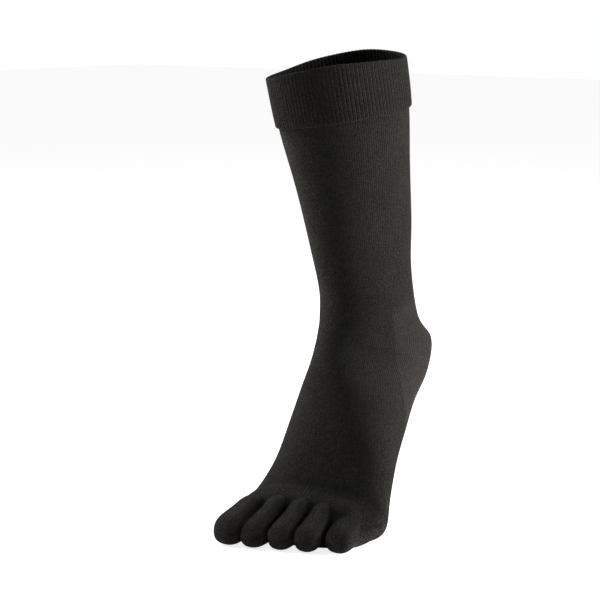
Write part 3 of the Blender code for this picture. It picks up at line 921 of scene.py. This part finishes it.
class TOESOCK_OT_body(bpy.types.Operator):
    """Knits the leg, heel, foot and toes as one skin"""

    bl_idname = "toe_sock.body"
    bl_label = "Knit Body"

    def execute(self, context):
        form, look = context.scene.toe_sock_form, context.scene.toe_sock_look
        mesh = fused_form(form)
        outward(mesh)
        crease_shade_mark(mesh, form.crease_reach, form.crease_depth)
        open_top(mesh)
        points = knit_map(mesh, form)
        heel_mark(mesh, points)
        outward(mesh)
        obj = new_object("sock_body_skin", mesh)
        wall = obj.modifiers.new("wall", "SOLIDIFY")
        wall.thickness = KNIT_WALL
        # The form is the outside of the knit, so its thickness goes inward.
        wall.offset = -1.0
        mesh = applied(obj)
        mesh.materials.append(knit_material("body_knit", look, False))
        finished("sock_body", mesh, BODY_NODES)
        return {"FINISHED"}


class TOESOCK_OT_cuff(bpy.types.Operator):
    """Knits the double ribbed cuff"""

    bl_idname = "toe_sock.cuff"
    bl_label = "Knit Cuff"

    def execute(self, context):
        form, look = context.scene.toe_sock_form, context.scene.toe_sock_look
        cuff = context.scene.toe_sock_cuff
        mesh, layer, u, v = cuff_mesh("sock_cuff", cuff.ribs * POINTS_PER_RIB)
        # Two wales make up each rib and meet on its top.
        layer.data.foreach_set("uv", np.stack((u * 2 * cuff.ribs, v / form.course), axis=1).ravel())
        outward(mesh)
        material = knit_material("welt_knit", look, True)
        group, count, height = rib_group(material)
        obj = new_object("sock_cuff_band", mesh)
        ribs = obj.modifiers.new("ribs", "NODES")
        ribs.node_group = group
        ribs[count] = cuff.ribs
        ribs[height] = cuff.rib_height
        mesh = applied(obj)
        mesh.materials.clear()
        mesh.materials.append(material)
        finished("sock_cuff", mesh, ("cuff",))
        return {"FINISHED"}


class TOESOCK_OT_stage(bpy.types.Operator):
    """Lays the floor and sets the lights and the camera"""

    bl_idname = "toe_sock.stage"
    bl_label = "Set Stage"

    def execute(self, context):
        scene, stage = context.scene, context.scene.toe_sock_stage
        mesh = bpy.data.meshes.new("floor")
        bm = bmesh.new()
        bmesh.ops.create_grid(bm, x_segments=1, y_segments=1, size=FLOOR_HALF)
        bm.to_mesh(mesh)
        bm.free()
        mesh.transform(Matrix.Translation((0.0, 0.0, CAD_BOX[0].z)))
        floor = new_object("floor", mesh)
        paint = bpy.data.materials.new("floor_paint")
        paint.use_nodes = True
        shader = paint.node_tree.nodes["Principled BSDF"]
        shader.inputs["Base Color"].default_value = (*stage.floor, 1.0)
        shader.inputs["Roughness"].default_value = FLOOR_ROUGHNESS
        shader.inputs["Emission Color"].default_value = (*stage.floor, 1.0)
        rays = add(paint.node_tree, "ShaderNodeLightPath")
        glow = maths(paint.node_tree, "MULTIPLY", rays.outputs["Is Camera Ray"], stage.floor_glow)
        paint.node_tree.links.new(glow, shader.inputs["Emission Strength"])
        mesh.materials.append(paint)
        scene.view_settings.view_transform = "Standard"
        world = bpy.data.worlds.new("studio")
        scene.world = world
        world.use_nodes = True
        tree = world.node_tree
        tree.nodes.clear()
        fill = add(tree, "ShaderNodeBackground", {"Color": WHITE, "Strength": stage.sky})
        seen = add(tree, "ShaderNodeBackground", {"Color": WHITE, "Strength": 1.0})
        rays = add(tree, "ShaderNodeLightPath")
        both = add(
            tree, "ShaderNodeMixShader",
            links={0: rays.outputs["Is Camera Ray"], 1: fill.outputs[0], 2: seen.outputs[0]},
        )
        add(tree, "ShaderNodeOutputWorld", links={0: both.outputs[0]})
        for name, (place, share) in LIGHTS.items():
            light = bpy.data.lights.new(name, "AREA")
            light.energy = stage.key * share
            light.size = LIGHT_SIZE
            aim(new_object(name, light), place, Vector(LIGHT_TARGET))
        camera = bpy.data.cameras.new("camera")
        camera.lens = stage.lens
        camera.sensor_width = SENSOR_WIDTH
        scene.camera = new_object("camera", camera)
        origin = Vector(mouth_middle())
        aim(scene.camera, Vector(CAMERA_PLACE) - origin, Vector(CAMERA_TARGET) - origin)
        return {"FINISHED"}


class TOESOCK_PT_panel(bpy.types.Panel):
    """Lists the sock's settings and steps"""

    bl_idname = "TOESOCK_PT_panel"
    bl_label = "Toe Sock"
    bl_space_type = "VIEW_3D"
    bl_region_type = "UI"
    bl_category = "Toe Sock"

    def draw(self, context):
        for name, group in GROUPS.items():
            box = self.layout.box()
            settings = getattr(context.scene, name)
            for field in group.__annotations__:
                box.prop(settings, field)
        for operator in OPERATORS:
            self.layout.operator(operator.bl_idname)


GROUPS = {
    "toe_sock_form": ToeSockForm,
    "toe_sock_cuff": ToeSockCuff,
    "toe_sock_look": ToeSockLook,
    "toe_sock_stage": ToeSockStage,
}
OPERATORS = (TOESOCK_OT_body, TOESOCK_OT_cuff, TOESOCK_OT_stage)


def register():
    for name, group in GROUPS.items():
        bpy.utils.register_class(group)
        setattr(bpy.types.Scene, name, bpy.props.PointerProperty(type=group))
    for entry in (*OPERATORS, TOESOCK_PT_panel):
        bpy.utils.register_class(entry)


def unregister():
    for entry in (TOESOCK_PT_panel, *reversed(OPERATORS)):
        bpy.utils.unregister_class(entry)
    for name, group in reversed(GROUPS.items()):
        delattr(bpy.types.Scene, name)
        bpy.utils.unregister_class(group)


def main():
    """Builds the sock and its stage."""
    register()
    bpy.ops.toe_sock.body()
    bpy.ops.toe_sock.cuff()
    bpy.ops.toe_sock.stage()
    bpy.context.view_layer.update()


if __name__ == "__main__":
    main()
